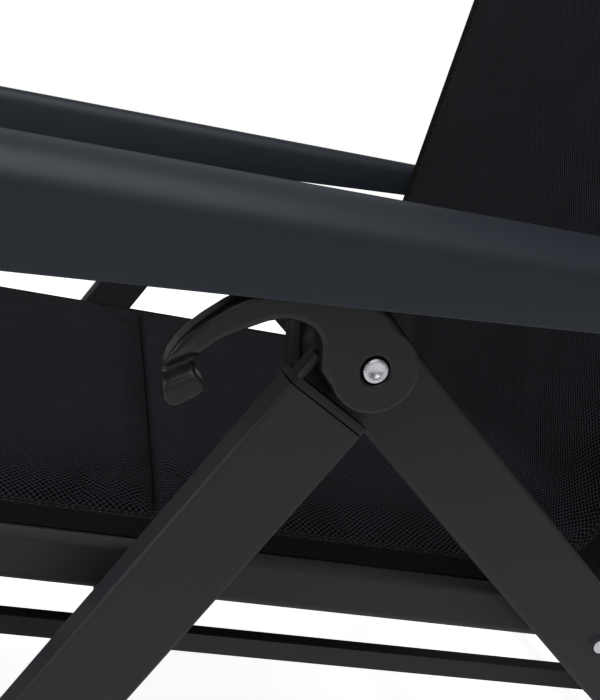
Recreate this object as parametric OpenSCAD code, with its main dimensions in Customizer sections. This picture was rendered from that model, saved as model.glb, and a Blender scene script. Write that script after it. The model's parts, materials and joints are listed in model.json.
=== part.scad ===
/* [Overall] */
// Width over the two armrests
overall_w = 630; // [560:1:760]
// Height of the leg pivot above the floor
pivot_h = 520; // [440:1:620]
// Angle of the legs above the floor
leg_angle = 50; // [46:0.5:56]
// Rise of the seat towards its front
seat_slope = 12; // [6:0.5:16]
// Lean of the upright backrest
back_lean = 17; // [10:0.5:22]
// Seat length between its two hinges
seat_depth = 500; // [440:1:600]
// Backrest length above its hinge
back_length = 760; // [620:1:900]
// Leg rest length beyond its hinge
leg_rest_length = 340; // [270:1:400]
// Angle of the hanging leg rest below the level
leg_rest_drop = 60; // [50:1:70]
// Distance of the backrest hinge behind the leg pivot
hinge_back = 176; // [150:1:215]
// Distance of the backrest hinge below the leg pivot
hinge_drop = 181; // [150:1:220]

/* [Tubes] */
// Front-to-back width of a leg tube
leg_w = 45; // [38:0.5:54]
// Sideways thickness of a leg tube
leg_d = 20; // [18:0.5:24]
// Wall of the leg tubes
leg_wall = 1.8; // [1.2:0.1:3]
// Height of the seat, back and leg rest rails
rail_h = 30; // [25:0.5:36]
// Sideways thickness of those rails
rail_d = 25; // [22:0.5:30]
// Wall of those rails
rail_wall = 1.6; // [1.2:0.1:3]
// Diameter of the round cross tubes
cross_d = 22; // [18:0.5:26]
// Wall of the round cross tubes
cross_wall = 1.5; // [1:0.1:3]

/* [Pivot and lever] */
// Diameter of the leg pivot pin
pin_d = 12; // [10:0.5:14]
// Diameter of the lever hub
hub_d = 41; // [37:0.5:42]
// Thickness of the lever
lever_t = 15; // [12:0.5:15]
// Distance of the leg centre line in front of the pivot
leg_offset = 2; // [1.5:0.1:2.5]
// Distance from the pivot to the top of the leg cap's collar
collar_s = 23.5; // [22.5:0.1:28]
// Thickness of the leg cap's collar
collar_t = 4; // [3:0.5:8]
// Thickness of the leg cap's fin
fin_t = 3.2; // [2.5:0.1:3.3]

/* [Armrests] */
// Width of an armrest
arm_w = 60; // [56:1:70]
// Wall of the armrest shell
arm_wall = 4; // [3:0.5:4]
// Length of an armrest in front of the pivot
arm_front = 250; // [215:1:300]
// Length of an armrest behind its own pivot
arm_tail = 30; // [20:1:40]
// Height of the armrest's top above the leg pivot
arm_top = 73.8; // [73:0.1:80]
// Height of the armrest's lower edge above the leg pivot
arm_bottom = 30.6; // [28:0.1:31]
// Slope of the armrest's top
arm_top_slope = 10.8; // [9.5:0.1:11.5]
// Slope of the armrest's lower edge
arm_low_slope = 8; // [7:0.1:8.5]
// Radius of the armrest's shoulders
arm_shoulder = 12; // [10:0.5:12.5]
// Height of the guide shoe above the leg pivot
shoe_up = 47; // [46:0.1:48]
// Distance of the armrest pivot up the back from its hinge
arm_pivot_run = 203; // [201:0.5:205]

/* [Fabric] */
// Thickness of the padded slings
sling_t = 8; // [5:0.5:10]
// Distance from a sling's edge to the rail's outer face
sling_inset = 6; // [4:0.5:12]

/* [Fits] */
// Radial clearance of a pin in its bore
running = 0.05; // [0.02:0.01:0.09]
// Sideways gap between pieces that turn past each other
side_gap = 0.5; // [0.3:0.1:1]
// Gap between the seat rail and the peg under it
rest_gap = 0.3; // [0.3:0.05:0.6]

/* [Hidden] */
$fn = 48;
merge = 0.5;
far = 2000;

// Layers across the chair, from the outside in
half_w = overall_w / 2;
arm_in = half_w - arm_w;
lever_out = half_w - 13;
lever_in = lever_out - lever_t;
front_out = half_w - 19;
front_in = front_out - leg_d;
rear_out = front_in - 2;
rear_in = rear_out - leg_d;
rail_out = rear_in - 3;
rail_in = rail_out - rail_d;
rail_mid = (rail_out + rail_in) / 2;
rod_t = 9;
rod_out = rail_in - 2;
rod_in = rod_out - rod_t;
cheek_out = lever_in - side_gap;

// Points from the leg pivot, as [back, up]
pivot = [0, 0];
seat_hinge = [hinge_back, -hinge_drop];
leg_hinge = seat_hinge + seat_depth * [-cos(seat_slope), sin(seat_slope)];
arm_pivot = seat_hinge + arm_pivot_run * [sin(back_lean), cos(back_lean)];
shoe = [0, shoe_up];
leg_run = cos(leg_angle);
leg_fall = sin(leg_angle);
seat_bolt_y = (hinge_back * tan(seat_slope) - hinge_drop) / (tan(seat_slope) - tan(leg_angle));
seat_bolt = [seat_bolt_y, -seat_bolt_y * tan(leg_angle)];

// Leg ends, feet and the place of the chair in its frame
foot_wall = 2;
foot_clear = 24;
foot_sleeve = 18;
cap_gap = 0.8;
leg_end = (pivot_h - foot_clear) / leg_fall;
foot_reach = pivot_h / tan(leg_angle) + (leg_w / 2 + foot_wall) / leg_fall;
corner_r = 6;
leg_rest_reach = -leg_hinge[0] + (leg_rest_length - corner_r) * cos(leg_rest_drop)
    + (rail_h / 2 - corner_r) * sin(leg_rest_drop) + corner_r;
pivot_y = (leg_rest_reach - foot_reach) / 2;

// Pins, eyes, cranks and rods
pin_r = pin_d / 2;
hub_r = hub_d / 2;
hinge_pin_r = 6;
crank_pin_r = 5;
crank = 62;
crank_back = 20;
crank_w = 18;
crank_turn = crank_back - seat_slope;
eye_step = 0.5;
eye_r = rail_h / 2 - eye_step;
eye_gap = eye_r + 4;
rail_start = eye_gap + 17.5;
plug_len = 25;
sling_start = 45;
plug_gap = 0.1;
lap = rail_in + rail_d / 2;
rod_h = 12;
rod_eye_r = 9;

// Cross tubes, pegs and bolts
stretcher_s = 385;
floor_bar_h = 62;
cross_inset = 70;
peg_r = 8;
bolt_r = 4;
bolt_head_r = 7.5;
bolt_head_t = 3;
rail_drop = hinge_drop - hinge_back * tan(seat_slope);
peg_s = (rail_drop + (rail_h / 2 + peg_r + rest_gap) / cos(seat_slope))
    / (leg_fall + leg_run * tan(seat_slope));

// Guide channel inside the armrest
channel_gap = 19;
channel_wall = 2;
shoe_r = 5;
channel_depth = 7.5;
tongue_in = arm_in + arm_wall + channel_depth + side_gap;
tongue_half = 12;
arm_boss_r = 9;
arm_boss_len = 26;
channel_tilt = atan((shoe_up - arm_pivot[1]) / arm_pivot[0]);
channel_start = arm_pivot[0] - 25;
channel_end = arm_pivot[0] + arm_front - 90;

// Arch of the lever, as [back, up] from the pivot
arch_at = [-50, -4];
arch_r = 29.5;
crook_at = [-57, -3];
crook_r = 38.5;

// ---- placing ----

module at(p) translate([0, pivot_y + p[0], pivot_h + p[1]]) children();

module mirrored() mirror([1, 0, 0]) children();

module both() {
    children();
    mirrored() children();
}

module front_leg_frame() at(pivot) rotate([leg_angle - 90, 0, 0]) children();

module rear_leg_frame() at(pivot) rotate([90 - leg_angle, 0, 0]) children();

module seat_frame() at(seat_hinge) rotate([-seat_slope, 0, 0]) children();

module back_frame() at(seat_hinge) rotate([-back_lean, 0, 0]) children();

module leg_rest_frame() at(leg_hinge) rotate([leg_rest_drop, 0, 0]) children();

module arm_frame() at([0, arm_top]) rotate([-arm_top_slope, 0, 0]) children();

module channel_frame() at(arm_pivot) rotate([-channel_tilt, 0, 0]) children();

// ---- shapes ----

// Points along an arc, from angle a0 to angle a1
function arc(c, r, a0, a1, steps = 24) =
    [for (i = [0 : steps]) let (a = a0 + (a1 - a0) * i / steps) c + r * [cos(a), sin(a)]];

module rounded(w, h, r) {
    square([w - 2 * r, h], center = true);
    square([w, h - 2 * r], center = true);
    for (x = [-1, 1], y = [-1, 1])
        translate([x * (w / 2 - r), y * (h / 2 - r)]) circle(r = r);
}

module rounded_tube(w, h, r, wall) {
    difference() {
        rounded(w, h, r);
        rounded(w - 2 * wall, h - 2 * wall, r - wall);
    }
}

// A plate seen from the side, from x0 outwards
module side_plate(x0, t) translate([x0, 0, 0]) rotate([90, 0, 90]) linear_extrude(t) children();

// A round bar across the chair, from x0 outwards
module bar(x0, length, r) translate([x0, 0, 0]) rotate([0, 90, 0]) cylinder(r = r, h = length);

module bore(r) bar(-far, 2 * far, r);

// A section drawn across the leg, from s0 to s1 below the pivot
module along_leg(s0, s1) translate([0, 0, -s1]) linear_extrude(s1 - s0) children();

// A section drawn across a rail, from s0 to s1 forwards of the hinge
module along_rail(s0, s1) translate([0, -s0, 0]) rotate([90, 0, 0]) linear_extrude(s1 - s0) children();

module cross_tube(length) {
    difference() {
        bar(-length / 2, length, cross_d / 2);
        bar(-length, 2 * length, cross_d / 2 - cross_wall);
    }
}

// ---- legs ----

module leg_outline(x0, offset_y) translate([x0 + leg_d / 2, offset_y]) rounded(leg_d, leg_w, 3);

module leg_tube(x0, offset_y, gap = 0) {
    along_leg(collar_s + collar_t + gap, leg_end)
        translate([x0 + leg_d / 2, offset_y]) rounded_tube(leg_d, leg_w, 3, leg_wall);
}

module leg_plug(x0, offset_y) {
    inside = 2 * leg_wall + 2 * plug_gap;
    along_leg(collar_s + collar_t - merge, collar_s + collar_t + plug_len)
        translate([x0 + leg_d / 2, offset_y]) square([leg_d - inside - 2, leg_w - inside - 2], center = true);
}

module foot_solid(x0, offset_y) {
    difference() {
        along_leg(leg_end - foot_sleeve, leg_end + 3 * foot_clear)
            translate([x0 + leg_d / 2, offset_y])
                rounded(leg_d + 2 * foot_wall, leg_w + 2 * foot_wall, 4);
        along_leg(leg_end - foot_sleeve - 1, leg_end) leg_outline(x0, offset_y);
    }
}

module above_floor() {
    intersection() {
        children();
        translate([-far / 2, -far / 2, 0]) cube([far, far, far]);
    }
}

module rear_leg() {
    color("dimgray") difference() {
        rear_leg_frame() leg_tube(rear_in, 0);
        at(seat_bolt) bore(bolt_r);
    }
}

module front_leg() color("dimgray") front_leg_frame() leg_tube(front_in, -leg_offset, cap_gap);

module rear_feet() color("black") both() above_floor() rear_leg_frame() foot_solid(rear_in, 0);

module front_feet() {
    color("black") both() above_floor() front_leg_frame() foot_solid(front_in, -leg_offset);
}

module rear_leg_head() {
    head_step = 1;
    set_in = 0.4;
    color("dimgray") difference() {
        union() {
            rear_leg_frame() {
                along_leg(0, collar_s + collar_t) leg_outline(rear_in, 0);
                leg_plug(rear_in, 0);
            }
            at(pivot) bar(rear_in + set_in, leg_d - 2 * set_in, leg_w / 2 - head_step);
            at(pivot) translate([tongue_in, -tongue_half, 0])
                cube([rear_out - 2 * set_in - tongue_in, 2 * tongue_half, shoe_up + shoe_r]);
        }
        at(pivot) bore(pin_r + running);
    }
}

module front_leg_cap() {
    cheek_in = front_in + 0.6;
    set_back = 4;
    fin_top = 11;
    color("dimgray") difference() {
        union() {
            front_leg_frame() {
                along_leg(collar_s, collar_s + collar_t) leg_outline(front_in, -leg_offset);
                leg_plug(front_in, -leg_offset);
                side_plate(cheek_in, cheek_out - cheek_in) {
                    circle(r = leg_w / 2 - leg_offset);
                    translate([-leg_w / 2 - leg_offset + set_back, -collar_s - merge])
                        square([leg_w - set_back, collar_s + merge]);
                }
                translate([cheek_out - merge, -leg_w / 2 - leg_offset, -collar_s - merge])
                    cube([front_out - cheek_out + merge, fin_t, collar_s + merge - fin_top]);
            }
        }
        at(pivot) bore(pin_r + running);
    }
}

module apex_bracket() {
    x0 = rail_in;
    x1 = rear_in - 0.5;
    front = -23;
    back = 35;
    low = -24;
    high = 30;
    rib = 7;
    groove = 1.5;
    color("gray") difference() {
        at(pivot) side_plate(x0, x1 - x0) translate([(front + back) / 2, (low + high) / 2])
            rounded(back - front, high - low, 6);
        at(pivot) translate([x0 + rib, front - 1, low - 1]) cube([groove, 9, high - low + 2]);
        at(pivot) bore(pin_r + running);
    }
}

module pivot_pin() {
    head_r = 9;
    head_t = 3.5;
    proud = 0.8;
    color("silver") at(pivot) {
        bar(rail_in - merge, lever_out + proud - rail_in + merge, pin_r);
        bar(rail_in - head_t, head_t, head_r);
    }
}

module pivot_washers() {
    washer_r = 15;
    color("black") both() at(pivot) difference() {
        bar(rear_out, 2, washer_r);
        bore(pin_r + running);
    }
}

module guide_shoes() {
    color("white") both() at(shoe) bar(arm_in + arm_wall + channel_wall + side_gap,
        channel_depth - channel_wall, shoe_r);
}

module lever_springs() {
    wire = 1.8;
    turns = 3;
    coil_r = pin_r + wire / 2 + 1.2;
    color("silver") both() at(pivot) for (i = [0 : turns - 1])
        translate([lever_in + 1.2 + i * wire * 0.9, 0, 0]) rotate([0, 90, 0])
            rotate_extrude() translate([coil_r, 0]) circle(d = wire, $fn = 16);
}

module rear_stretcher() {
    color("dimgray") rear_leg_frame() translate([0, 0, -stretcher_s]) cross_tube(2 * rear_in);
}

module front_stretcher() {
    color("dimgray") front_leg_frame() translate([0, -leg_offset, -stretcher_s]) cross_tube(2 * front_in);
}

module rear_floor_bar() {
    color("dimgray") rear_leg_frame() translate([0, 0, -(pivot_h - floor_bar_h) / leg_fall])
        cross_tube(2 * rear_in);
}

module front_floor_bar() {
    color("dimgray") front_leg_frame()
        translate([0, -leg_offset, -(pivot_h - floor_bar_h) / leg_fall]) cross_tube(2 * front_in);
}

module seat_rest_pegs() {
    color("black") both() front_leg_frame() translate([0, 0, -peg_s])
        bar(rail_in + 2, front_in - rail_in - 2, peg_r);
}

module cap_rivets() {
    color("silver") both() front_leg_frame()
        translate([front_out - leg_d / 2, leg_w / 2 - leg_offset, -collar_s - collar_t - 13])
            rotate([-90, 0, 0]) cylinder(r = 3, h = 1.2);
}

// ---- seat ----

// A rail with square-cut ends, from s0 to s1 along its frame
module rail(s0, s1) along_rail(s0, s1) translate([rail_mid, 0]) rounded_tube(rail_d, rail_h, corner_r, rail_wall);

module rail_plug(s0, s1) {
    inside = 2 * rail_wall + 2 * plug_gap;
    along_rail(s0, s1) translate([rail_mid, 0]) square([rail_d - inside - 4, rail_h - inside - 4], center = true);
}

// Eye and tongue of a lapped hinge joint, whose rail is turned by turn from level
module hinge_outline(turn) {
    circle(r = eye_r);
    rotate(turn) translate([-rail_start, -rail_h / 2]) square([rail_start, rail_h]);
}

// Block that closes the end of a rail
module rail_block() {
    along_rail(eye_gap, rail_start) translate([rail_mid, 0]) rounded(rail_d, rail_h, corner_r);
    rail_plug(rail_start - merge, rail_start + plug_len);
}

module fixed_half() {
    difference() {
        union() {
            side_plate(lap + side_gap / 2, rail_out - lap - side_gap / 2) hinge_outline(0);
            rail_block();
        }
        bore(hinge_pin_r + running);
    }
}

// The other half, with the crank that carries the push rod
module moving_half(turn) {
    difference() {
        union() {
            side_plate(rail_in, lap - side_gap / 2 - rail_in) {
                hinge_outline(turn);
                rotate(crank_turn) {
                    translate([-crank_w / 2, -crank]) square([crank_w, crank]);
                    translate([0, -crank]) circle(r = crank_w / 2 - eye_step);
                }
            }
            rotate([turn, 0, 0]) rail_block();
            rotate([crank_turn, 0, 0]) translate([0, 0, -crank])
                bar(rod_in - 2, rail_in - rod_in + 2 + merge, crank_pin_r);
        }
        bore(hinge_pin_r);
    }
}

module seat_rail() {
    color("dimgray") difference() {
        seat_frame() rail(rail_start, seat_depth - rail_start);
        at(seat_bolt) bore(bolt_r);
    }
}

module seat_hinge_end() {
    color("gray") difference() {
        seat_frame() fixed_half();
        at(seat_bolt) bore(bolt_r);
    }
}

module seat_front_end() {
    color("gray") seat_frame() translate([0, -seat_depth, 0]) rotate([180, 0, 0]) fixed_half();
}

module seat_cross(s) color("dimgray") seat_frame() translate([0, -s, 0]) cross_tube(2 * rail_in);

module seat_cross_front() seat_cross(seat_depth - cross_inset);

module seat_cross_rear() seat_cross(cross_inset);

module seat_bolts() {
    color("silver") both() at(seat_bolt) {
        bar(rail_in - bolt_head_t, rear_out + 2 * bolt_head_t - rail_in, bolt_r);
        bar(rail_in - bolt_head_t, bolt_head_t, bolt_head_r);
        bar(rail_out, rear_in - rail_out, bolt_head_r);
    }
}

// A sling from s0 to s1 along its rails, with its lower face at height z
module sling(s0, s1, z = rail_h / 2) {
    half = rail_out - sling_inset;
    translate([-half, -s1, z]) cube([2 * half, s1 - s0, sling_t]);
}

module seat_sling() color("black") seat_frame() sling(rail_start, seat_depth - rail_start);

// ---- backrest ----

// The back's rails run upwards from the hinge, so its frame is the rail frame turned up
module back_rails_frame() back_frame() rotate([-90, 0, 0]) children();

module back_rail() {
    color("dimgray") difference() {
        back_rails_frame() rail(rail_start, back_length - rail_d);
        at(arm_pivot) bore(pin_r);
    }
}

module back_hinge() color("gray") at(seat_hinge) moving_half(-90 - back_lean);

module hinge_pin() {
    difference() {
        bar(rail_in - 2, rail_d + 4, hinge_pin_r);
        bore(2);
    }
}

module back_hinge_pins() color("silver") both() at(seat_hinge) hinge_pin();

module end_tube(length) {
    translate([-rail_out, -length + rail_d / 2, 0]) rotate([90, 0, 90])
        linear_extrude(2 * rail_out) rounded_tube(rail_d, rail_h, corner_r, rail_wall);
}

module back_top_tube() color("dimgray") back_rails_frame() end_tube(back_length);

module back_cross_tube() {
    color("dimgray") back_rails_frame() translate([0, -2 * cross_inset, 0]) cross_tube(2 * rail_in);
}

module back_sling() {
    color("black") back_rails_frame()
        sling(sling_start, back_length - rail_d, -rail_h / 2 - sling_t);
}

module arm_pivot_bolts() {
    nut_x = arm_in + arm_wall + arm_boss_len + 3;
    color("silver") both() at(arm_pivot) {
        bar(rail_in - bolt_head_t, nut_x + bolt_head_t - rail_in, pin_r);
        bar(rail_in - bolt_head_t, bolt_head_t, arm_boss_r);
        bar(rail_out, arm_in - side_gap - rail_out, arm_boss_r);
        bar(nut_x + side_gap, 2 * bolt_head_t, bolt_head_r + 1);
    }
}

// ---- leg rest ----

module leg_rail() color("dimgray") leg_rest_frame() rail(rail_start, leg_rest_length - rail_d);

module leg_hinge() color("gray") at(leg_hinge) moving_half(leg_rest_drop);

module leg_hinge_pins() color("silver") both() at(leg_hinge) hinge_pin();

module leg_end_tube() color("dimgray") leg_rest_frame() end_tube(leg_rest_length);

module leg_sling() color("black") leg_rest_frame() sling(sling_start, leg_rest_length - rail_d);

// ---- armrests ----

// Side outline of the armrest in its own frame, with a round nose and tail
arm_turn = arm_top_slope - arm_low_slope;
arm_h = arm_top - arm_bottom;
arm_end = arm_pivot[0] + arm_tail;
nose_r = (arm_h + arm_front * tan(arm_turn)) / 2;
tip_r = (arm_h - arm_end * tan(arm_turn)) / 2;
nose_at = [-arm_front + nose_r, -nose_r];
tip_at = [arm_end - tip_r, -tip_r];

module arm_side() {
    polygon(concat(arc(nose_at, nose_r, 90, 270 + arm_turn), arc(tip_at, tip_r, arm_turn - 90, 90)));
}

// The hollow inside it, which runs out through the underside
module arm_hollow_side() {
    polygon(concat([[nose_at[0], -3 * nose_r]], arc(nose_at, nose_r - arm_wall, 180, 90, 12),
        arc(tip_at, tip_r - arm_wall, 90, 0, 12), [[tip_at[0] + tip_r - arm_wall, -3 * nose_r]]));
}

// Cross section of the armrest, with rounded shoulders
module arm_section(x0, w, r, top) {
    deep = 150;
    polygon(concat([[x0, -deep], [x0 + w, -deep]], arc([x0 + w - r, top - r], r, 0, 90, 12),
        arc([x0 + r, top - r], r, 90, 180, 12)));
}

module arm_bar(x0, w, r, top) {
    translate([0, far / 2, 0]) rotate([90, 0, 0]) linear_extrude(far) arm_section(x0, w, r, top);
}

module armrest() {
    inner_r = arm_shoulder - arm_wall;
    inner_w = arm_w - 2 * arm_wall;
    color("darkslategray") difference() {
        arm_frame() difference() {
            intersection() {
                side_plate(arm_in, arm_w) arm_side();
                arm_bar(arm_in, arm_w, arm_shoulder, 0);
            }
            intersection() {
                side_plate(arm_in + arm_wall, inner_w) arm_hollow_side();
                arm_bar(arm_in + arm_wall, inner_w, inner_r, -arm_wall);
            }
        }
        at(arm_pivot) bar(arm_in - 1, arm_wall + 2, pin_r + running);
    }
}

module arm_channel() {
    x0 = arm_in + arm_wall;
    shift = 3;
    plate_t = 3;
    half = channel_gap / 2 + channel_wall;
    length = channel_end - channel_start;
    color("gray") difference() {
        channel_frame() {
            for (z = [-half, half - channel_wall])
                translate([x0, -channel_end, z]) cube([channel_depth, length, channel_wall]);
            translate([x0, -channel_end, -half]) cube([channel_wall, length, 2 * half]);
            translate([x0, -channel_start - plate_t, -half]) cube([channel_depth, plate_t, 2 * half]);
            translate([x0 + shift, -channel_start - merge, -6])
                cube([channel_depth - shift, channel_start, 12]);
            bar(x0 + shift, arm_boss_len, arm_boss_r);
        }
        at(arm_pivot) bore(pin_r + running);
    }
}

// ---- push rods and levers ----

module push_rod() {
    color("dimgray") seat_frame() rotate([crank_back, 0, 0]) translate([0, 0, -crank])
        rotate([-crank_back, 0, 0]) difference() {
            union() {
                for (s = [0, seat_depth]) translate([0, -s, 0]) bar(rod_in, rod_t, rod_eye_r);
                translate([rod_in, -seat_depth, -rod_h / 2]) cube([rod_t, seat_depth, rod_h]);
            }
            for (s = [0, seat_depth]) translate([0, -s, 0]) bore(crank_pin_r + running);
        }
}

// Hub, neck, crook and finger pad, round the arch that the fingers pass through
module lever_outline() {
    neck = [[5, 27], [-8, 36], [-25, 38], [-45, 37.5]];
    pad = [[-94.5, -9], [-91.5, -12.5], [-88, -12.3], [-78, -8.5], [-76, -5.5], [-77.5, -2]];
    polygon(concat(arc([0, 0], hub_r, 190, 392), neck, arc(crook_at, crook_r, 92, 184), pad,
        arc(arch_at, arch_r, 176, 2)));
}

module lever() {
    coil_space = pin_r + 3.2;
    recess = 0.7;
    color("dimgray") at(pivot) difference() {
        side_plate(lever_in, lever_t) lever_outline();
        bore(pin_r + running);
        bar(lever_in - 1, 7, coil_space + 1);
        bar(lever_out - 3, 4, pin_r + recess);
    }
}

mirrored() rear_leg();  // rear_leg_r
rear_leg();  // rear_leg_l
mirrored() rear_leg_head();  // rear_leg_head_r
rear_leg_head();  // rear_leg_head_l
mirrored() apex_bracket();  // apex_bracket_r
apex_bracket();  // apex_bracket_l
mirrored() pivot_pin();  // pivot_pin_r
pivot_pin();  // pivot_pin_l
pivot_washers();
guide_shoes();
rear_feet();
rear_stretcher();
rear_floor_bar();
mirrored() seat_rail();  // seat_rail_r
seat_rail();  // seat_rail_l
mirrored() seat_hinge_end();  // seat_hinge_end_r
seat_hinge_end();  // seat_hinge_end_l
mirrored() seat_front_end();  // seat_front_end_r
seat_front_end();  // seat_front_end_l
seat_cross_front();
seat_cross_rear();
seat_bolts();
seat_sling();
lever_springs();
mirrored() front_leg();  // front_leg_r
front_leg();  // front_leg_l
mirrored() front_leg_cap();  // front_leg_cap_r
front_leg_cap();  // front_leg_cap_l
front_feet();
front_stretcher();
front_floor_bar();
seat_rest_pegs();
cap_rivets();
mirrored() back_rail();  // back_rail_r
back_rail();  // back_rail_l
mirrored() back_hinge();  // back_hinge_r
back_hinge();  // back_hinge_l
back_hinge_pins();
back_top_tube();
back_cross_tube();
arm_pivot_bolts();
back_sling();
mirrored() leg_rail();  // leg_rail_r
leg_rail();  // leg_rail_l
mirrored() leg_hinge();  // leg_hinge_r
leg_hinge();  // leg_hinge_l
leg_hinge_pins();
leg_end_tube();
leg_sling();
mirrored() armrest();  // armrest_r
armrest();  // armrest_l
mirrored() arm_channel();  // arm_channel_r
arm_channel();  // arm_channel_l
mirrored() push_rod();  // push_rod_r
push_rod();  // push_rod_l
mirrored() lever();  // lever_r
lever();  // lever_l
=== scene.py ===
"""Reclining sun lounger: covers, armrests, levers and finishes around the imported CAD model."""
import json
import math

import bmesh
import bpy
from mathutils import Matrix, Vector

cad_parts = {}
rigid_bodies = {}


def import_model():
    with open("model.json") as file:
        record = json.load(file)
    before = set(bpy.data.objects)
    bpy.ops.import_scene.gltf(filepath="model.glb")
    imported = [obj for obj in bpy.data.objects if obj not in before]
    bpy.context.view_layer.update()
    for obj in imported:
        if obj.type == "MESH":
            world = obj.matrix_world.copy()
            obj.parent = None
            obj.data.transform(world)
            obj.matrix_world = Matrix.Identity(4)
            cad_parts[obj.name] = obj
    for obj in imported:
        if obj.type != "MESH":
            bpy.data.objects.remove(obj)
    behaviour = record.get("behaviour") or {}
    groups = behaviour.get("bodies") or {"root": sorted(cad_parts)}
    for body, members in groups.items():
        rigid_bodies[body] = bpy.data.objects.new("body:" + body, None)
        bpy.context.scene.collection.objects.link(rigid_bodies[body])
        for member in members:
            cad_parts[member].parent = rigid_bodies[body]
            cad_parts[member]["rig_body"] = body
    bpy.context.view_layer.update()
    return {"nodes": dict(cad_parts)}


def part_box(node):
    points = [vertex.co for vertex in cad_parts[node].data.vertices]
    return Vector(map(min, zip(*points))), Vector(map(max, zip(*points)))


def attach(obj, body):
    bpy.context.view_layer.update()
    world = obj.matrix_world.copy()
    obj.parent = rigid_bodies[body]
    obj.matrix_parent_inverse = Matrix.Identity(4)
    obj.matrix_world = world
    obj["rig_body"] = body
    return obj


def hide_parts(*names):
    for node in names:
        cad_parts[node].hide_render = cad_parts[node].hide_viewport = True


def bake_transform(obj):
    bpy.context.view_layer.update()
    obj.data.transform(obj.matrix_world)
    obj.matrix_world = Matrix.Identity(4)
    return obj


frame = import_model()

MM = 0.001
UP = Vector((0, 0, 1))
SIDES = {"l": 1, "r": -1}
SIDE_NAMES = {"l": "left", "r": "right"}


def middle(node):
    """The middle of a node's box, moved to the chair's middle plane."""
    low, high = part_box(node)
    point = (Vector(low) + Vector(high)) / 2
    return Vector((0, point.y, point.z))


def held(value):
    """A value held between 0 and 1."""
    return min(1.0, max(0.0, value))


def turned(v):
    """A direction in the side plane, turned a quarter from along a run to its upper side."""
    return Vector((0, -v.z, v.y))


# ---- places, from the frame ----

pivot = middle("pivot_pin_l")
seat_hinge = middle("back_hinge_pins")
leg_hinge = middle("leg_hinge_pins")
arm_pivot = middle("arm_pivot_bolts")
arm_in, arm_out = (corner[0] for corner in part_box("armrest_l"))
lever_in, lever_out = (corner[0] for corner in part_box("lever_l"))
seat_run = (seat_hinge - leg_hinge).normalized()
back_run = (arm_pivot - seat_hinge).normalized()
leg_run = (leg_hinge - middle("leg_end_tube")).normalized()
back_end = middle("back_top_tube")
leg_end = middle("leg_end_tube")


# ---- camera, light and floor ----

def camera():
    """The photo's view: from the sitter's left, a little ahead of the pivot, looking down on it."""
    yaw, pitch = math.radians(7.98), math.radians(17.37)
    off_pivot = Vector((663.84, -129.12, 127.52)) * MM
    frame_height, axis_left_of_middle = 700, 100
    data = bpy.data.cameras.new("camera")
    data.sensor_width = 36
    data.lens = 46.25
    data.shift_x = axis_left_of_middle / frame_height
    eye = bpy.data.objects.new("camera", data)
    bpy.context.scene.collection.objects.link(eye)
    eye.location = pivot + off_pivot
    ahead = Vector((-math.cos(yaw) * math.cos(pitch), math.sin(yaw) * math.cos(pitch),
                    -math.sin(pitch)))
    eye.rotation_euler = ahead.to_track_quat("-Z", "Y").to_euler()
    data.clip_start = 0.02
    bpy.context.scene.camera = eye


def area_light(name, at, towards, size, power):
    """A soft rectangular lamp at a place, turned towards a point. Its power is in watts."""
    data = bpy.data.lights.new(name, "AREA")
    data.shape = "RECTANGLE"
    data.size, data.size_y = size
    data.energy = power
    lamp = bpy.data.objects.new(name, data)
    lamp.location = at
    lamp.rotation_euler = (Vector(towards) - Vector(at)).to_track_quat("-Z", "Y").to_euler()
    bpy.context.scene.collection.objects.link(lamp)


def brighter_to_camera(tree, strength, for_light, for_camera):
    """Sets a strength of the world or the floor: one value as light, another as it is seen."""
    seen = tree.nodes.new("ShaderNodeLightPath").outputs["Is Camera Ray"]
    chosen = tree.nodes.new("ShaderNodeMapRange")
    chosen.inputs["To Min"].default_value = for_light
    chosen.inputs["To Max"].default_value = for_camera
    tree.links.new(seen, chosen.inputs["Value"])
    tree.links.new(chosen.outputs[0], strength)


def studio():
    """A dim white room, seen as plain white, and three soft lamps: above, ahead and at the left."""
    scene = bpy.context.scene
    scene.view_settings.view_transform = "Standard"
    world = bpy.data.worlds.new("studio")
    world.use_nodes = True
    background = world.node_tree.nodes["Background"]
    background.inputs["Color"].default_value = (1, 1, 1, 1)
    brighter_to_camera(world.node_tree, background.inputs["Strength"], 0.21, 1.0)
    scene.world = world
    area_light("above", (0.5, 0.05, 2.6), (0, 0, 0.4), (1.8, 2.4), 50)
    area_light("ahead", (0.6, -2.4, 1.7), (0.1, 0, 0.5), (1.4, 1.4), 30)
    area_light("side_fill", (2.6, 0.2, 1.5), (0, 0, 0.5), (1.4, 1.0), 10.5)


def floor():
    """A pale floor, brightened to the camera so that its horizon hardly shows."""
    bpy.ops.mesh.primitive_plane_add(size=30, location=(0, 0, 0))
    plane = bpy.context.object
    plane.name = "floor"
    finish = bpy.data.materials.new("floor_paint")
    finish.use_nodes = True
    shader = finish.node_tree.nodes["Principled BSDF"]
    shader.inputs["Base Color"].default_value = (0.93, 0.93, 0.93, 1)
    shader.inputs["Roughness"].default_value = 0.9
    shader.inputs["Emission Color"].default_value = (1, 1, 1, 1)
    brighter_to_camera(finish.node_tree, shader.inputs["Emission Strength"], 0.10, 0.81)
    plane.data.materials.append(finish)


# ---- materials ----

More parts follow.
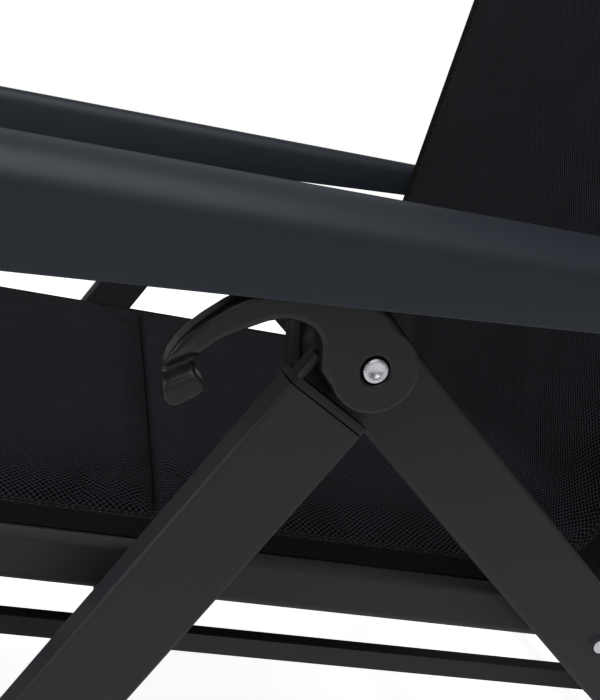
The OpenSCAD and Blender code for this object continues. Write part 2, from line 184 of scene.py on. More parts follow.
class Finish:
    """A material, with a short way to add nodes to it."""

    def __init__(self, name, colour, roughness, specular=0.5, metallic=0.0):
        self.material = bpy.data.materials.new(name)
        self.material.use_nodes = True
        self.tree = self.material.node_tree
        self.shader = self.tree.nodes["Principled BSDF"]
        self.shader.inputs["Base Color"].default_value = (*colour, 1)
        self.shader.inputs["Roughness"].default_value = roughness
        self.shader.inputs["Specular IOR Level"].default_value = specular
        self.shader.inputs["Metallic"].default_value = metallic
        self.material.diffuse_color = (*colour, 1)

    def add(self, kind, links=None, values=None, **settings):
        """A new node, with the links and the values of its inputs, and its settings."""
        node = self.tree.nodes.new(kind)
        for key, value in settings.items():
            setattr(node, key, value)
        for key, value in (values or {}).items():
            node.inputs[key].default_value = value
        for key, source in (links or {}).items():
            self.tree.links.new(source, node.inputs[key])
        return node

    def mix(self, share, a, b):
        """A mix of two values. share is how much of b it holds."""
        return self.add("ShaderNodeMix", {"A": a, "B": b}, {"Factor": share},
                        data_type="FLOAT").outputs[0]

    def vector(self, operation, source, by=None):
        """A vector, changed by an operation and a constant."""
        return self.add("ShaderNodeVectorMath", {0: source}, {1: by} if by else None,
                        operation=operation).outputs[0]

    def place(self, uv=False):
        return self.add("ShaderNodeTexCoord").outputs["UV" if uv else "Object"]

    def noise(self, place, scale, detail=3.0, roughness=0.5):
        return self.add("ShaderNodeTexNoise", {"Vector": place},
                        {"Scale": scale, "Detail": detail, "Roughness": roughness}).outputs["Fac"]

    def ramp(self, source, low, high, colours):
        """Colours between low and high of a value."""
        node = self.add("ShaderNodeValToRGB", {"Fac": source})
        for element, at, colour in zip(node.color_ramp.elements, (low, high), colours):
            element.position = at
            element.color = (*colour, 1)
        return node.outputs["Color"]

    def spread(self, source, low, high, to_low, to_high, **settings):
        """A value between low and high, stretched to lie between two others."""
        return self.add("ShaderNodeMapRange", {"Value": source},
                        {"From Min": low, "From Max": high, "To Min": to_low, "To Max": to_high},
                        **settings).outputs[0]

    def colour(self, source):
        self.tree.links.new(source, self.shader.inputs["Base Color"])

    def roughness(self, source):
        self.tree.links.new(source, self.shader.inputs["Roughness"])

    def bump(self, source, strength, depth):
        node = self.add("ShaderNodeBump", {"Height": source},
                        {"Strength": strength, "Distance": depth})
        self.tree.links.new(node.outputs["Normal"], self.shader.inputs["Normal"])


def shades(colour, spread):
    """A darker and a lighter colour either side of one."""
    return [tuple(c * (1 - spread) for c in colour), tuple(c * (1 + spread) for c in colour)]


def grained(name, colour, roughness, grain, spread=0.08, bump=0.25, specular=0.5):
    """Paint or moulded plastic with a fine grain, faint clouds and a little wear on its edges."""
    depth = 0.06 * MM
    worn_colour = (*[min(1, 2.0 * c + 0.02) for c in colour], 1)
    finish = Finish(name, colour, roughness, specular)
    place = finish.place()
    fine = finish.noise(place, grain, 2.0, 0.6)
    cloud = finish.noise(place, 9.0, 3.0)
    tone = finish.mix(0.45, cloud, fine)
    base = finish.ramp(tone, 0.3, 0.7, shades(colour, spread))
    pointiness = finish.add("ShaderNodeNewGeometry").outputs["Pointiness"]
    edge = finish.spread(pointiness, 0.52, 0.58, 0.0, 0.35)
    worn = finish.add("ShaderNodeMix", {"Factor": edge, "A": base}, {"B": worn_colour},
                      data_type="RGBA").outputs["Result"]
    finish.colour(worn)
    finish.roughness(finish.spread(tone, 0.3, 0.7, roughness - 0.06, roughness + 0.06))
    finish.bump(fine, bump, depth)
    return finish.material


def brushed(name, colour, roughness, scale):
    """Plated metal with fine turning marks."""
    finish = Finish(name, colour, roughness, metallic=1.0)
    place = finish.place()
    fine = finish.noise(place, scale, 4.0, 0.7)
    finish.colour(finish.ramp(fine, 0.3, 0.75, shades(colour, 0.25)))
    finish.roughness(finish.spread(fine, 0.3, 0.7, roughness - 0.1, roughness + 0.12))
    finish.bump(fine, 0.35, 0.15 * MM)
    return finish.material


def mesh_fabric():
    """Black open mesh: rows of small holes, set off by half a hole from row to row, with painted
    shade in the holes.
    """
    across, along = 2.8 * MM, 3.6 * MM
    # hole is no colour of the cloth: it is the painted shade seen through each hole.
    thread, hole = (0.0208, 0.0194, 0.0242), (0.0006, 0.0006, 0.0007)
    hole_rim = (0.19, 0.34)
    finish = Finish("mesh_fabric", thread, 0.8, specular=0.03)
    place = finish.place(uv=True)
    cells = finish.vector("MULTIPLY", place, (1 / across, 1 / along, 0))
    from_hole = []
    for shift in (0.0, 0.5):
        moved = finish.vector("ADD", cells, (shift, shift, 0))
        offset = finish.vector("SUBTRACT", finish.vector("FRACTION", moved), (0.5, 0.5, 0))
        flat = finish.vector("MULTIPLY", offset, (1, 1, 0))
        length = finish.add("ShaderNodeVectorMath", {0: flat}, operation="LENGTH")
        from_hole.append(length.outputs["Value"])
    near = finish.add("ShaderNodeMath", {0: from_hole[0], 1: from_hole[1]},
                      operation="MINIMUM").outputs[0]
    rim = finish.spread(near, *hole_rim, 0.0, 1.0, interpolation_type="SMOOTHSTEP")
    strands = finish.noise(finish.vector("MULTIPLY", place, (2600, 700, 1)), 1.0, 2.0)
    cloud = finish.noise(place, 22.0, 3.0)
    tone = finish.mix(0.5, cloud, strands)
    yarn = finish.ramp(tone, 0.25, 0.75, shades(thread, 0.3))
    # The yarn colour between the holes, and near black inside them: painted shade.
    finish.colour(finish.add("ShaderNodeMix", {"Factor": rim, "B": yarn}, {"A": (*hole, 1)},
                             data_type="RGBA").outputs["Result"])
    fibres = finish.add("ShaderNodeMath", {0: strands, 1: rim}, operation="MULTIPLY").outputs[0]
    lift = finish.add("ShaderNodeMath", {0: fibres}, {1: 0.3}, operation="MULTIPLY").outputs[0]
    total = finish.add("ShaderNodeMath", {0: lift, 1: rim}, operation="ADD").outputs[0]
    finish.bump(total, 0.9, 0.5 * MM)
    return finish.material


def tape_fabric():
    """Woven binding tape with fine slanting ribs."""
    colour = (0.0066, 0.0060, 0.0056)
    finish = Finish("binding_tape", colour, 0.85, specular=0.03)
    place = finish.place(uv=True)
    rib = 1.1 * MM
    half_wave = 0.314  # of the wave texture at scale 1
    ribs = finish.add("ShaderNodeTexWave", {"Vector": place},
                      {"Scale": half_wave / rib, "Distortion": 0.6, "Detail": 1.0},
                      bands_direction="DIAGONAL").outputs["Fac"]
    fine = finish.noise(place, 1800.0, 2.0)
    tone = finish.mix(0.5, ribs, fine)
    finish.colour(finish.ramp(tone, 0.3, 0.7, shades(colour, 0.55)))
    finish.bump(tone, 0.6, 0.25 * MM)
    return finish.material


def thread_fabric():
    """Sewing thread, a little lighter than the cloth."""
    colour = (0.024, 0.021, 0.020)
    finish = Finish("sewing_thread", colour, 0.6, specular=0.1)
    fine = finish.noise(finish.place(), 3000.0, 1.0)
    finish.colour(finish.ramp(fine, 0.3, 0.7, shades(colour, 0.25)))
    finish.bump(fine, 0.4, 0.1 * MM)
    return finish.material


finishes = {
    "powder_coat": grained("powder_coat_grain", (0.0080, 0.0073, 0.0098), 0.48, 1500.0,
                           spread=0.2, bump=0.5, specular=0.17),
    "armrest_coat": grained("armrest_matt", (0.0134, 0.0178, 0.0236), 0.46, 1900.0,
                            spread=0.05, bump=0.12, specular=0.18),
    "casting": grained("casting_grain", (0.0078, 0.0078, 0.0083), 0.5, 1300.0,
                       bump=0.3, specular=0.18),
    "lever_plastic": grained("lever_satin", (0.0074, 0.0077, 0.0090), 0.33, 1700.0,
                             spread=0.06, bump=0.12, specular=0.26),
    "black_plastic": grained("black_moulding", (0.006, 0.006, 0.006), 0.45, 1300.0, specular=0.3),
    "nylon": grained("nylon_white", (0.62, 0.61, 0.58), 0.4, 900.0, spread=0.04),
    "zinc": brushed("zinc_plate", (0.50, 0.51, 0.54), 0.30, 900.0),
    "spring_steel": brushed("spring_wire", (0.30, 0.30, 0.31), 0.35, 900.0),
}
fabric = mesh_fabric()
tape = tape_fabric()
thread = thread_fabric()


def paint_cad():
    """Gives each CAD node its finish, and says which slot each one had."""
    slots = {}
    for name, node in frame["nodes"].items():
        slots[name] = node.data.materials[0].name
        node.data.materials[0] = finishes.get(slots[name], fabric)
    return slots


# ---- mesh helpers ----

def piece(name, vertices, faces, material, body=None, sharp=35):
    mesh = bpy.data.meshes.new(name)
    mesh.from_pydata([tuple(v) for v in vertices], [], faces)
    mesh.validate()
    mesh.shade_smooth()
    mesh.set_sharp_from_angle(angle=math.radians(sharp))
    mesh.materials.append(material)
    made = bpy.data.objects.new(name, mesh)
    bpy.context.scene.collection.objects.link(made)
    if body:
        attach(made, body)
    return made


def facing_out(made):
    """Turns a piece's faces outwards, and marks its sharp edges again."""
    work = bmesh.new()
    work.from_mesh(made.data)
    bmesh.ops.recalc_face_normals(work, faces=work.faces)
    work.to_mesh(made.data)
    work.free()
    made.data.set_sharp_from_angle(angle=math.radians(35))


def weave(made, place):
    """Lays the woven materials on a piece. place gives (across, along) in metres for a vertex."""
    layer = made.data.uv_layers.new(name="weave")
    for loop in made.data.loops:
        layer.data[loop.index].uv = place(loop.vertex_index)


def rounded(half_a, half_b, radius):
    """A rectangle with rounded corners about the origin, as (a, b) points."""
    points = []
    for a, b, start in ((1, 1, 0), (-1, 1, 90), (-1, -1, 180), (1, -1, 270)):
        for angle in (math.radians(start + 15 * i) for i in range(7)):
            points.append((a * (half_a - radius) + radius * math.cos(angle),
                           b * (half_b - radius) + radius * math.sin(angle)))
    return points


def loft(name, rings, material, body=None, closed_ends=True, sharp=35):
    """A skin over rings of the same number of points, with its two ends closed if wanted."""
    count = len(rings[0])
    vertices = [p for ring in rings for p in ring]
    faces = [(r * count + i, r * count + (i + 1) % count,
              (r + 1) * count + (i + 1) % count, (r + 1) * count + i)
             for r in range(len(rings) - 1) for i in range(count)]
    if closed_ends:
        faces.append(tuple(range(count)))
        faces.append(tuple((len(rings) - 1) * count + i for i in range(count)))
    made = piece(name, vertices, faces, material, body, sharp)
    facing_out(made)
    return made


def lathe(name, centre, profile, material, body, side):
    """A turned piece about an axle across the chair. profile holds (outwards, radius) pairs."""
    steps = 48
    rings = []
    for out, radius in profile:
        rings.append([centre + Vector((side * out, radius * math.cos(a), radius * math.sin(a)))
                      for a in (2 * math.pi * i / steps for i in range(steps))])
    return loft(name, rings, material, body)


def softened(node, width):
    """A copy of a CAD node with its edges rounded, which stands for that node."""
    merge, flat, sharp = 0.002 * MM, math.radians(1), math.radians(30)
    source = frame["nodes"][node]
    work = bmesh.new()
    work.from_mesh(source.data)
    bmesh.ops.remove_doubles(work, verts=work.verts, dist=merge)
    bmesh.ops.dissolve_limit(work, angle_limit=flat, verts=work.verts, edges=work.edges)
    hard = [e for e in work.edges if len(e.link_faces) == 2 and e.calc_face_angle() > sharp]
    bmesh.ops.bevel(work, geom=hard, offset=width, segments=2, profile=0.5, affect="EDGES",
                    clamp_overlap=True, offset_type="OFFSET")
    mesh = bpy.data.meshes.new(node + "_soft")
    work.to_mesh(mesh)
    work.free()
    mesh.validate()
    mesh.shade_smooth()
    mesh.set_sharp_from_angle(angle=math.radians(40))
    mesh.materials.append(source.data.materials[0])
    made = bpy.data.objects.new(node + "_soft", mesh)
    bpy.context.scene.collection.objects.link(made)
    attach(made, source["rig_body"])
    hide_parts(node)


# ---- armrests ----

def armrest(tag, side):
    """A hollow moulding with flat sides, a wide soft outer shoulder and rounded ends."""
    top_slope, low_slope = math.radians(10.8), math.radians(8)
    turn = top_slope - low_slope
    top_at_pivot, low_at_pivot = 73.8 * MM, 30.6 * MM
    front = -250 * MM
    end = arm_pivot.y - pivot.y + 30 * MM
    depth = top_at_pivot - low_at_pivot
    nose = (depth - front * math.tan(turn)) / 2
    tip = (depth - end * math.tan(turn)) / 2
    wall, inner_round, crease = 4 * MM, 12 * MM, 15.2 * MM
    half = (arm_out - arm_in) / 2
    plan_round, narrowing = 16 * MM, 0.28
    slope_share, slope_power, round_share, round_power = 0.38, 1.9, 0.62, 2.8

    def heights(y):
        """Top and bottom of the side outline at y."""
        top, bottom = 0.0, -depth + y * math.tan(turn)
        if y < front + nose:
            rise = math.sqrt(max(0.0, nose ** 2 - (front + nose - y) ** 2))
            top = -nose + rise
            bottom = max(bottom, -nose - rise)
        if y > end - tip:
            rise = math.sqrt(max(0.0, tip ** 2 - (y - end + tip) ** 2))
            top = -tip + rise
            bottom = max(bottom, -tip - rise)
        return top, bottom

    def across(y):
        """How much of its width the armrest has at y, where its ends are rounded in plan."""
        to_end = min(y - front, end - y)
        if to_end >= plan_round:
            return 1.0
        part = 1 - to_end / plan_round
        return 1 - narrowing * (1 - math.sqrt(max(0.0, 1 - part * part)))

    def section(y, hollow):
        """Outline across the armrest at y, as (x from its middle, z).

        It runs from the inner lower edge over the top to the outer one, and back through the
        hollow where there is one."""
        top, bottom = heights(y)
        scale = min(1.0, (top - bottom) / depth * 1.25)
        outline = []
        edge = min(1.2 * MM, (top - bottom) / 4)
        for i in range(4):
            a = math.radians(-90 - 30 * i)
            outline.append((-half + edge + edge * math.cos(a), bottom + edge + edge * math.sin(a)))
        for i in range(9):
            a = math.radians(180 - 90 * i / 8)
            r = inner_round * scale
            outline.append((-half + inner_round * (1 + math.cos(a)), top - r + r * math.sin(a)))
        for i in range(1, 13):
            outline.append((-half + inner_round + (half - inner_round) * (i / 12), top))
        for i in range(1, 15):
            t = math.sin(math.pi / 2 * i / 14)
            fall = (slope_share * t ** slope_power
                    + round_share * (1 - math.sqrt(max(0.0, 1 - t ** round_power))))
            outline.append((half * t, top - crease * scale * fall))
        soft = 2.4 * MM
        lead = top - crease * scale
        for i in range(5):
            outline.append((half, lead - soft * (i + 1) / 5 * scale))
        for i in range(4):
            a = math.radians(-30 * i)
            outline.append((half - edge + edge * math.cos(a), bottom + edge + edge * math.sin(a)))
        roof = (top - wall - 0.5 * MM) if hollow else bottom
        return outline + [
            (half - wall, bottom), (half - wall, (roof - crease * 0.95) if hollow else bottom),
            (half * 0.55, roof - 4.5 * MM if hollow else bottom), (0, roof),
            (-half + inner_round, roof), (-half + wall, roof - 6 * MM if hollow else bottom),
            (-half + wall, bottom)]

    rounds, spans = 14, 24
    blunt, step = 0.05 * MM, 0.5 * MM
    quarter = [math.pi / 2 * i / rounds for i in range(rounds + 1)]
    inside_front, inside_back = front + nose + 6 * MM, end - tip - 6 * MM
    stations = [(front + nose * (1 - math.cos(a)), False) for a in quarter]
    stations[0] = (front + blunt, False)
    stations += [(inside_front, False), (inside_front + step, True)]
    stations += [(inside_front + (inside_back - inside_front) * i / spans, True)
                 for i in range(1, spans)]
    stations += [(inside_back - step, True), (inside_back, False)]
    stations += [(end - tip + tip * math.sin(a), False) for a in quarter]
    stations[-1] = (end - blunt, False)

    centre = (arm_in + arm_out) / 2
    ahead = Vector((0, math.cos(top_slope), -math.sin(top_slope)))
    up = Vector((0, math.sin(top_slope), math.cos(top_slope)))
    origin = pivot + UP * top_at_pivot
    rings = []
    for y, hollow in stations:
        share = across(y)
        rings.append([origin + ahead * y + up * z + Vector((side * (centre + x * share), 0, 0))
                      for x, z in section(y, hollow)])
    made = loft("armrest_shell_" + tag, rings, finishes["armrest_coat"],
                "armrest_" + SIDE_NAMES[tag], sharp=50)
    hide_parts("armrest_" + tag)


# ---- levers and pins ----

def evaluated(holder):
    """The mesh of a curve, or of an object with its modifiers applied."""
    graph = bpy.context.evaluated_depsgraph_get()
    return bpy.data.meshes.new_from_object(holder.evaluated_get(graph))


def curve_plate(loops, thick, edge):
    """A plate with rounded edges, as (vertices, faces).

    loops are closed outlines in the side plane, and those after the first are holes."""
    data = bpy.data.curves.new("plate", "CURVE")
    data.dimensions = "2D"
    data.fill_mode = "BOTH"
    data.extrude = thick / 2 - edge
    data.bevel_depth = edge
    data.bevel_resolution = 3
    data.offset = -edge
    for loop in loops:
        spline = data.splines.new("POLY")
        spline.points.add(len(loop) - 1)
        spline.use_cyclic_u = True
        for point, (y, z) in zip(spline.points, loop):
            point.co = (y, z, 0, 1)
    holder = bpy.data.objects.new("plate", data)
    bpy.context.scene.collection.objects.link(holder)
    mesh = evaluated(holder)
    bpy.data.objects.remove(holder)
    work = bmesh.new()
    work.from_mesh(mesh)
    bmesh.ops.remove_doubles(work, verts=work.verts, dist=0.02 * edge)
    bmesh.ops.recalc_face_normals(work, faces=work.faces)
    vertices = [Vector((v.co.z, v.co.x, v.co.y)) for v in work.verts]
    faces = [[v.index for v in face.verts] for face in work.faces]
    work.free()
    return vertices, faces


def moulded(parts, voxel, rounds):
    """One smooth skin over several closed shapes, as (vertices, faces)."""
    work = bmesh.new()
    for vertices, faces in parts:
        made = [work.verts.new(v) for v in vertices]
        for face in faces:
            work.faces.new([made[i] for i in face])
    mesh = bpy.data.meshes.new("moulding")
    work.to_mesh(mesh)
    work.free()
    holder = bpy.data.objects.new("moulding", mesh)
    bpy.context.scene.collection.objects.link(holder)
    remesh = holder.modifiers.new("skin", "REMESH")
    remesh.mode = "VOXEL"
    remesh.voxel_size = voxel
    soft = holder.modifiers.new("soft", "SMOOTH")
    soft.factor = 0.5
    soft.iterations = rounds
    result = evaluated(holder)
    bpy.data.objects.remove(holder)
    return [v.co.copy() for v in result.vertices], [list(face.vertices) for face in result.polygons]


def lever(tag, side):
    """The moulded lever: a flat hub, and an arm that hooks round the finger arch to a pad.

    Its points are (back, up) in mm from the pivot, and x is towards its outer face."""
    thick = lever_out - lever_in
    hub, hole = 20.5, 6.6
    groove_from, groove_to = Vector((0, -93.5, 3.2)), Vector((0, -82, 7.6))
    groove_depth, groove_reach, groove_start, groove_full = 5.6, 3.6, -3, 6
    dish_depth, dish_rim, dish_slope, face = 0.06, 2.2, 2.0, 6
    inner_edge = [(-80, 2), (-80, 8.5), (-76, 12), (-71.5, 15.4), (-65.5, 18.2), (-56, 21.8),
                  (-48.2, 24.2), (-41, 24.8), (-34.2, 23.2), (-29, 20.2), (-25.8, 16.5),
                  (-24.6, 12), (-24.6, 6), (-24.6, 0.5)]
    outer_edge = [(-53.6, 37.4), (-60, 35.4), (-66, 32.8), (-76, 26.8), (-82, 22.4),
                  (-87.4, 17.1), (-91.3, 11.8), (-93.5, 6.5), (-94.5, 1), (-94.6, -4)]
    neck = [(5, 27), (-8, 36), (-25, 38), (-42, 38)]
    elbow = [(-94.5, -9), (-91.5, -12.0), (-88, -12.0), (-79, -8.5), (-77.2, -5.5), (-78, -2)]
    finger_pad = [(-94.6, -3), (-92.5, -1), (-84, 3.0), (-81, 3.2), (-76.8, -1), (-76.4, -5),
                  (-78.5, -7.6), (-88.5, -12.2), (-91.5, -12.0), (-94.4, -8.5)]

    def arc(radius, start, stop, steps):
        """Points about the pivot, from one angle to another."""
        angles = [math.radians(start + (stop - start) * i / steps) for i in range(steps + 1)]
        return [(radius * math.cos(a), radius * math.sin(a)) for a in angles]

    def plate(loop, edge, holes=()):
        sized = [[(y * MM, z * MM) for y, z in outline] for outline in (loop, *holes)]
        return curve_plate(sized, thick, edge * MM)

    outline = arc(hub, 214, 392, 36) + neck + outer_edge + elbow + inner_edge
    disc = arc(hub, 0, 357, 119)
    ring = arc(hole, 0, 354, 59)
    parts = [plate(outline, 3.0, [ring]), plate(disc, 1.3, [ring]), plate(finger_pad, 1.6)]
    vertices, faces = moulded(parts, 0.5 * MM, 4)
    groove = groove_to - groove_from
    placed = []
    for v in vertices:
        x, y, z = v.x / MM, v.y / MM, v.z / MM
        spot = Vector((0, y, z)) - groove_from
        away = (spot - groove * held(spot.dot(groove) / groove.length_squared)).length
        share = held((x - groove_start) / (groove_full - groove_start))
        x -= groove_depth * math.exp(-(away / groove_reach) ** 2) * share
        from_axis = math.hypot(y, z)
        if x > face and from_axis < hub:
            x -= dish_depth * (held((hub - dish_rim - from_axis) / dish_slope)
                               * held((from_axis - hole) / dish_slope))
        out = (lever_in + lever_out) / 2 + x * MM
        placed.append(Vector((side * out, pivot.y + y * MM, pivot.z + z * MM)))
    made = piece("lever_hook_" + tag, placed, faces, finishes["lever_plastic"],
                 "lever_" + SIDE_NAMES[tag], sharp=60)
    facing_out(made)
    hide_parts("lever_" + tag)


def pin(tag, side):
    """The pivot pin: a chamfered end with a shallow centre mark, and a low head on the inside.

    The profiles hold (outwards, radius) in mm, from the head's inner face and from the end."""
    low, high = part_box("pivot_pin_" + tag)
    head, end = sorted((abs(low[0]) / MM, abs(high[0]) / MM))
    shank = 5.75
    head_profile = [(0, 7.6), (0.6, 8.8), (2.6, 9.0), (3.5, 8.9), (3.5, shank)]
    end_profile = [(-1.0, shank), (-0.5, 5.6), (-0.12, 5.1), (0, 4.6), (-0.08, 2.9), (-0.5, 2.3),
                   (-0.75, 1.2), (-0.8, 0.2)]
    profile = [((start + out) * MM, radius * MM)
               for start, points in ((head, head_profile), (end, end_profile))
               for out, radius in points]
    made = lathe("pivot_pin_turned_" + tag, pivot, profile, finishes["zinc"], "rear_frame",
                 side)
    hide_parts("pivot_pin_" + tag)


# ---- covers ----

class Run:
    """A line in the side plane from start to end, with its one corner rounded."""

    def __init__(self, start, corner, end, radius):
        self.start, self.corner, self.end, self.radius = start, corner, end, radius
        self.before = (corner - start).normalized()
        self.after = (end - corner).normalized()
        self.turn = math.atan2(self.before.y * self.after.z - self.before.z * self.after.y,
                               self.before.dot(self.after))
        self.trim = radius * math.tan(abs(self.turn) / 2)
        self.first = (corner - start).length - self.trim
        self.bend = radius * abs(self.turn)
        self.length = self.first + self.bend + (end - corner).length - self.trim

    def at(self, s):
        """The point s along the run, and the direction there."""
        if s <= self.first:
            return self.start + self.before * s, self.before
        if s >= self.first + self.bend:
            return self.end - self.after * (self.length - s), self.after
        part = (s - self.first) / self.radius * math.copysign(1, self.turn)
        enter = self.start + self.before * self.first
        centre = enter + turned(self.before) * math.copysign(self.radius, self.turn)
        c, k = math.cos(part), math.sin(part)
        spoke = enter - centre
        point = centre + Vector((0, spoke.y * c - spoke.z * k, spoke.y * k + spoke.z * c))
        way = Vector((0, self.before.y * c - self.before.z * k,
                      self.before.y * k + self.before.z * c))
        return point, way

    def above(self, s, x, height):
        """The point at s along the run, x across the chair and so high above the run."""
        point, way = self.at(s)
        return point + turned(way) * height + Vector((x, 0, 0))


def meet(p, u, q, v):
    """Where the line from p along u crosses the line from q along v, in the side plane."""
    cross = u.y * v.z - u.z * v.y
    d = q - p
    return p + u * ((d.y * v.z - d.z * v.y) / cross)


rail_top = 15 * MM
pad_edge = 228 * MM
tape_edge = 245.5 * MM
seam_from_hinge = 278 * MM
seam_skew = 26 * MM
seat_base = seat_hinge + turned(seat_run) * rail_top
back_base = seat_hinge + turned(back_run) * rail_top
leg_base = leg_hinge + turned(leg_run) * rail_top
seat_seam = seat_base - seat_run * seam_from_hinge
back_length = (back_end - seat_hinge).length - 3 * MM
leg_length = (leg_end - leg_hinge).length - 3 * MM
back_cover = Run(seat_seam, meet(seat_base, seat_run, back_base, back_run),
                 back_base + back_run * back_length, 48 * MM)
leg_cover = Run(leg_base - leg_run * leg_length, meet(leg_base, leg_run, seat_base, seat_run),
                seat_seam, 16 * MM)


def marks(length, seams, step, near):
    """Stations along a run: a step apart, with closer ones either side of each seam."""
    close = [s + d * k for s in seams for k in (-1, 1) for d in near]
    even = [length * i / round(length / step) for i in range(round(length / step) + 1)]
    clear = [e for e in even if min(abs(e - s) for s in seams) > max(near) + step / 2]
    slack = 1e-9
    return sorted(set(round(v, 6) for v in close + clear + [0, length]
                      if -slack <= v <= length + slack))


def pad(name, run, seams):
    """The padded mesh, thin at its stitched edges and seams and thicker between them."""
    full, thin, under_side = 8.5 * MM, 2.6 * MM, 0.6 * MM
    hem = 7 * MM
    side_rise, seam_rise = 16 * MM * 0.45, 2.6 * MM
    rows = marks(run.length, seams, 7 * MM,
                 (0, 0.8 * MM, 2 * MM, 4 * MM, 7 * MM, 11 * MM, 16 * MM))
    inner = pad_edge - 27 * MM
    near_edge = (0, 3 * MM, hem, 10 * MM, 14 * MM, 20 * MM)
    columns = sorted([(pad_edge - off) * k for k in (-1, 1) for off in near_edge]
                     + [-inner + 2 * inner * i / 56 for i in range(57)])
    seat_end = 0.0 if run is back_cover else run.length

    def lean(s, x):
        """How far back the seat's seam is pulled. It is sewn a little askew."""
        fade = math.exp(-((s - seat_end) / (80 * MM)) ** 2)
        return seat_run * (seam_skew * (1 - x / pad_edge) / 2 * fade)

    def height(s, x):
        from_edge = max(0.0, pad_edge - hem - abs(x))
        side = 1 - math.exp(-from_edge / side_rise)
        from_seam = min(abs(s - m) for m in seams)
        cross = 1 - math.exp(-from_seam / seam_rise)
        swell = 1.0 * MM * math.exp(-((from_seam - 14 * MM) / (12 * MM)) ** 2)
        middle_swell = 1.2 * MM * (1 - (x / pad_edge) ** 2)
        return thin + (full - thin + swell + middle_swell) * side * cross

    places = [(x, s) for s in rows for x in columns] * 2
    vertices = []
    for i, (x, s) in enumerate(places):
        lift = height(s, x) if i < len(places) // 2 else under_side
        vertices.append(run.above(s, x, lift) + lean(s, x))
    wide, long = len(columns), len(rows)
    under = wide * long
    faces = []
    for r in range(long - 1):
        for c in range(wide - 1):
            a = r * wide + c
            faces.append((a, a + 1, a + wide + 1, a + wide))
            faces.append((under + a, under + a + wide, under + a + wide + 1, under + a + 1))
    for r in range(long - 1):
        for c in (0, wide - 1):
            a, b = r * wide + c, (r + 1) * wide + c
            faces.append((a, b, under + b, under + a))
    for c in range(wide - 1):
        for r in (0, long - 1):
            a, b = r * wide + c, r * wide + c + 1
            faces.append((a, b, under + b, under + a))
    made = piece(name, vertices, faces, fabric, sharp=60)
    facing_out(made)
    weave(made, lambda i: places[i])
    sewn = [i for i, (x, s) in enumerate(places)
            if i >= under or abs(x) > pad_edge - 1.3 * hem
            or min(abs(s - m) for m in seams) < 3.5 * MM]
    swollen(made, sewn)
    return made


def swollen(made, sewn):
    """Blows a pad up between its sewn lines by cloth simulation, and keeps the result."""
    scene = bpy.context.scene
    most = 3.2 * MM
    group = made.vertex_groups.new(name="sewn")
    group.add(sewn, 1.0, "REPLACE")
    cloth = made.modifiers.new("cloth", "CLOTH")
    cloth.settings.vertex_group_mass = "sewn"
    cloth.settings.quality = 4
    cloth.settings.use_pressure = True
    cloth.settings.uniform_pressure_force = 4
    cloth.settings.shrink_min = -0.02
    cloth.settings.effector_weights.gravity = 0
    cloth.collision_settings.use_collision = False
    last = 20
    cloth.point_cache.frame_start, cloth.point_cache.frame_end = 1, last
    for step in range(1, last + 1):
        scene.frame_set(step)
    blown = made.evaluated_get(bpy.context.evaluated_depsgraph_get()).to_mesh()
    for vertex, other in zip(made.data.vertices, blown.vertices):
        moved = other.co - vertex.co
        far = moved.length
        if far > 0:
            vertex.co += moved * (most * math.tanh(far / most) / far)
    made.modifiers.remove(cloth)
    made.vertex_groups.remove(group)
    scene.frame_set(1)


def tape_strip(name, run, side):
    """The flat woven border outside the stitched edge, which lies along the rails."""
    profile = [(pad_edge - 1 * MM, 0.4), (pad_edge - 1 * MM, 2.3), (pad_edge + 3 * MM, 2.5),
               (pad_edge + 8 * MM, 2.2), (tape_edge - 4 * MM, 1.9), (tape_edge - 1 * MM, 1.6),
               (tape_edge, 0.9), (tape_edge - 0.6 * MM, 0.2)]
    count = len(profile)
    steps = round(run.length / (6 * MM))
    rings = [[run.above(run.length * i / steps, side * x, h * MM) for x, h in profile]
             for i in range(steps + 1)]
    made = loft(name, rings, tape, sharp=60)
    weave(made, lambda i: (profile[i % count][0], run.length * (i // count) / steps))
    return made


def stitches(name, run, lines):
    """Rows of real stitches. Each line is (x, height) along the run.

    shape holds (place along the stitch, share of its thickness) from one end to the other."""
    pitch, long, thick = 4.6 * MM, 3.2 * MM, 0.42 * MM
    shape = ((-0.5, 0.35), (-0.3, 1.0), (0.3, 1.0), (0.5, 0.35))
    vertices, faces = [], []
    around = 6
    for x, height in lines:
        count = int(run.length / pitch)
        for i in range(count):
            mid = (i + 0.5) * run.length / count
            start = len(vertices)
            for share, swell in shape:
                s = mid + share * long
                lift = height + (0.25 * MM if abs(share) < 0.4 else -0.1 * MM)
                for a in (2 * math.pi * k / around for k in range(around)):
                    vertices.append(run.above(s, x + thick * swell * math.cos(a),
                                              lift + thick * swell * math.sin(a)))
            for r in range(3):
                for k in range(around):
                    a, b = start + r * around + k, start + r * around + (k + 1) % around
                    faces.append((a, b, b + around, a + around))
            faces.append(tuple(start + k for k in range(around)))
            faces.append(tuple(start + 3 * around + k for k in reversed(range(around))))
    return piece(name, vertices, faces, thread, sharp=70)


def seam_line(name, run, s):
    """The folded welt of a cross seam."""
    steps = 60
    radius = 1.1 * MM
    way = run.at(s)[1]
    rings = []
    for i in range(steps + 1):
        x = -pad_edge + 2 * pad_edge * i / steps
        rings.append([run.above(s, x, 2.4 * MM) + way * (radius * math.cos(a))
                      + turned(way) * (radius * math.sin(a))
                      for a in (2 * math.pi * k / 8 for k in range(8))])
    made = loft(name, rings, tape, sharp=60)
    points = made.data.vertices
    weave(made, lambda i: (points[i].co.x, points[i].co.y + points[i].co.z))
    return made


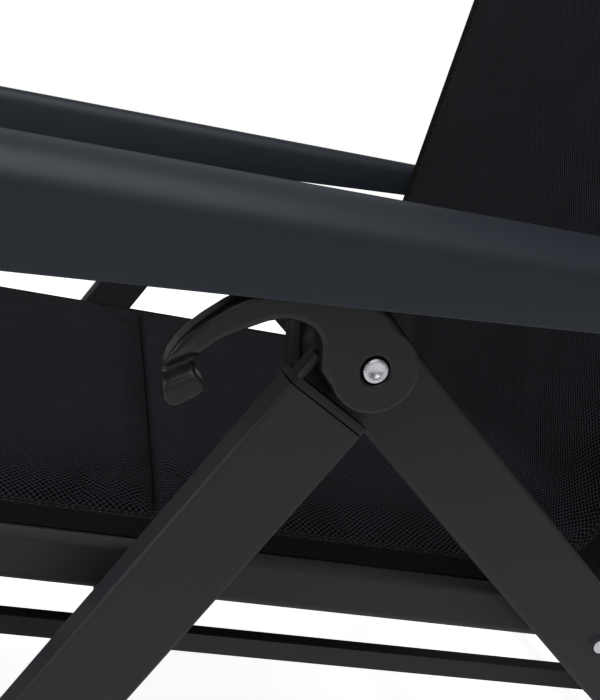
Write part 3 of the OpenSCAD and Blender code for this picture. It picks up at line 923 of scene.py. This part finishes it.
def sleeve(name, body, node, way):
    """Fabric wrapped round an end tube."""
    centre, normal = middle(node), turned(way)
    half_thick, half_long, corner, cloth = 12.5 * MM, 15 * MM, 6 * MM, 1.6 * MM
    half_wide = pad_edge * 1.04
    outline = rounded(half_thick + cloth, half_long + cloth, corner + cloth)
    count, steps = len(outline), 40
    rings = []
    for i in range(steps + 1):
        x = (-1 + 2 * i / steps) * half_wide
        rings.append([centre + way * a + normal * b + Vector((x, 0, 0)) for a, b in outline])
    made = loft(name, rings, fabric, body, closed_ends=False, sharp=60)
    wall = made.modifiers.new("cloth", "SOLIDIFY")
    wall.thickness, wall.offset = 1.4 * MM, -1
    weave(made, lambda i: ((-1 + 2 * (i // count) / steps) * half_wide, i % count * 2.8 * MM))


def end_plug(name, body, node, way, side):
    """A moulded plug in the open end of an end tube, with a rounded rim.

    profile holds how far out of the tube and how far inside its outline, in mm."""
    centre, normal = middle(node), turned(way)
    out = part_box(node)[1][0]
    half_thick, half_long, corner = 12.5, 15, 5.5
    profile = [(-7, 2.4), (-0.3, 2.4), (0, 0.3), (0.9, 0.3), (1.5, 0.9), (1.9, 2.4), (1.6, 4.2)]
    rings = []
    for along, inset in profile:
        outline = rounded(half_thick - inset, half_long - inset, corner - min(inset, 3))
        rings.append([centre + Vector((side * (out + along * MM), 0, 0))
                      + way * (a * MM) + normal * (b * MM) for a, b in outline])
    loft(name, rings, finishes["black_plastic"], body)


def covers():
    """Both halves of the cover, sewn together across the seat."""
    halves = {
        "back": (back_cover, ("rear_frame", "backrest"), seat_hinge - seat_run * 55 * MM,
                 seat_hinge + back_run * 55 * MM, (0.0, 690 * MM, back_cover.length)),
        "leg": (leg_cover, ("leg_rest", "rear_frame"), leg_hinge - leg_run * 40 * MM,
                leg_hinge + seat_run * 40 * MM, (150 * MM, leg_cover.length)),
    }
    for tag, (run, bodies, start, end, seams) in halves.items():
        made = [pad("cover_pad_" + tag, run, seams)]
        for s, side in SIDES.items():
            made.append(tape_strip(f"cover_tape_{tag}_{s}", run, side))
        lines = [(side * (pad_edge - off * MM), 2.75 * MM)
                 for side in (-1, 1) for off in (1.6, 5.2)]
        made.append(stitches("cover_stitches_" + tag, run, lines))
        for i, s in enumerate(m for m in seams if 0 < m < run.length):
            made.append(seam_line(f"cover_seam_{tag}_{i}", run, s))
        for part in made:
            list(bodies)
            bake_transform(part)
            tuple(start)
            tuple(end)
        if tag == "back":
            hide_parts("seat_sling", "back_sling")
        else:
            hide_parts("leg_sling")
    for tag, body, node, way in (("back", "backrest", "back_top_tube", back_run),
                                 ("leg", "leg_rest", "leg_end_tube", -leg_run)):
        sleeve("cover_sleeve_" + tag, body, node, way)
        for s, side in SIDES.items():
            end_plug(f"end_plug_{tag}_{s}", body, node, way, side)


# ---- the whole ----

camera()
studio()
floor()
slots = paint_cad()
for tag, side in SIDES.items():
    armrest(tag, side)
    lever(tag, side)
    pin(tag, side)
    for node in ("front_leg_cap_", "apex_bracket_", "rear_leg_head_", "seat_hinge_end_",
                 "seat_front_end_"):
        softened(node + tag, 0.5 * MM)
for node in ("front_feet", "rear_feet"):
    softened(node, 1.0 * MM)
covers()
